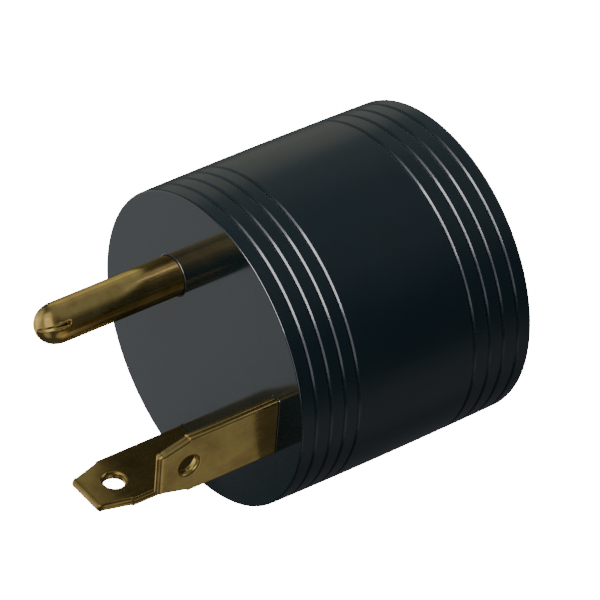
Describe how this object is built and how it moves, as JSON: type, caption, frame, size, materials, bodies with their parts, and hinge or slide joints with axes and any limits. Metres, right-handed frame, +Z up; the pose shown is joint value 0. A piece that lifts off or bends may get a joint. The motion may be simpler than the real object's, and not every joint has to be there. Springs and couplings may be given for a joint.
{
  "type": "rv plug adapter",
  "caption": "Round moulded plug adapter: two angled flat blades and a round ground pin on one face, a household-type three-hole socket on the other.",
  "frame": {"origin": "centre of the prong face, on the body's axis", "axes": "+Y from the prong face into the body, prongs along -Y, +Z up on the ground pin's side, +X to the right seen from the prong side"},
  "size_m": [0.0546, 0.0727, 0.0546],
  "materials": {
    "jacket_pvc": "satin-gloss moulded PVC, near black",
    "carrier_nylon": "matt natural nylon",
    "core_nylon": "matt dark nylon",
    "face_nylon": "satin black nylon",
    "prong_brass": "polished and lightly brushed brass",
    "contact_brass": "rolled brass strip",
    "rivet_steel": "plain steel rivet"
  },
  "bodies": {
    "adapter": {"jacket": "jacket_pvc", "blade_carrier": "carrier_nylon", "contact_core": "core_nylon", "socket_face": "face_nylon", "hot_blade": "prong_brass", "neutral_blade": "prong_brass", "ground_pin": "prong_brass", "hot_strap": "contact_brass", "neutral_strap": "contact_brass", "ground_strap": "contact_brass", "hot_contact_base": "contact_brass", "neutral_contact_base": "contact_brass", "ground_contact_base": "contact_brass", "hot_rivet": "rivet_steel", "neutral_rivet": "rivet_steel", "ground_rivet": "rivet_steel"},
    "hot_right": {"hot_leaf_right": "contact_brass"},
    "hot_left": {"hot_leaf_left": "contact_brass"},
    "neutral_right": {"neutral_leaf_right": "contact_brass"},
    "neutral_left": {"neutral_leaf_left": "contact_brass"},
    "ground_right": {"ground_leaf_right": "contact_brass"},
    "ground_left": {"ground_leaf_left": "contact_brass"}
  },
  "joints": [
    {"name": "hot_right_spring", "type": "hinge", "parent": "adapter", "child": "hot_right", "pos_m": [0.00905, 0.0203, -0.006], "axis": [0, 0, -1], "range_deg": [0, 2], "stiffness_Nm_per_rad": 0.5},
    {"name": "hot_left_spring", "type": "hinge", "parent": "adapter", "child": "hot_left", "pos_m": [0.00365, 0.0203, -0.006], "axis": [0, 0, 1], "range_deg": [0, 2], "stiffness_Nm_per_rad": 0.5},
    {"name": "neutral_right_spring", "type": "hinge", "parent": "adapter", "child": "neutral_right", "pos_m": [-0.00365, 0.0203, -0.006], "axis": [0, 0, -1], "range_deg": [0, 2], "stiffness_Nm_per_rad": 0.5},
    {"name": "neutral_left_spring", "type": "hinge", "parent": "adapter", "child": "neutral_left", "pos_m": [-0.00905, 0.0203, -0.006], "axis": [0, 0, 1], "range_deg": [0, 2], "stiffness_Nm_per_rad": 0.5},
    {"name": "ground_right_spring", "type": "hinge", "parent": "adapter", "child": "ground_right", "pos_m": [0.00355, 0.0203, 0.0059], "axis": [0, 0, -1], "range_deg": [0, 1.5], "stiffness_Nm_per_rad": 0.5},
    {"name": "ground_left_spring", "type": "hinge", "parent": "adapter", "child": "ground_left", "pos_m": [-0.00355, 0.0203, 0.0059], "axis": [0, 0, 1], "range_deg": [0, 1.5], "stiffness_Nm_per_rad": 0.5}
  ],
  "couplings": [
    {"joint": "hot_left_spring", "follows": "hot_right_spring", "ratio": 1},
    {"joint": "neutral_left_spring", "follows": "neutral_right_spring", "ratio": 1},
    {"joint": "ground_left_spring", "follows": "ground_right_spring", "ratio": 1}
  ]
}
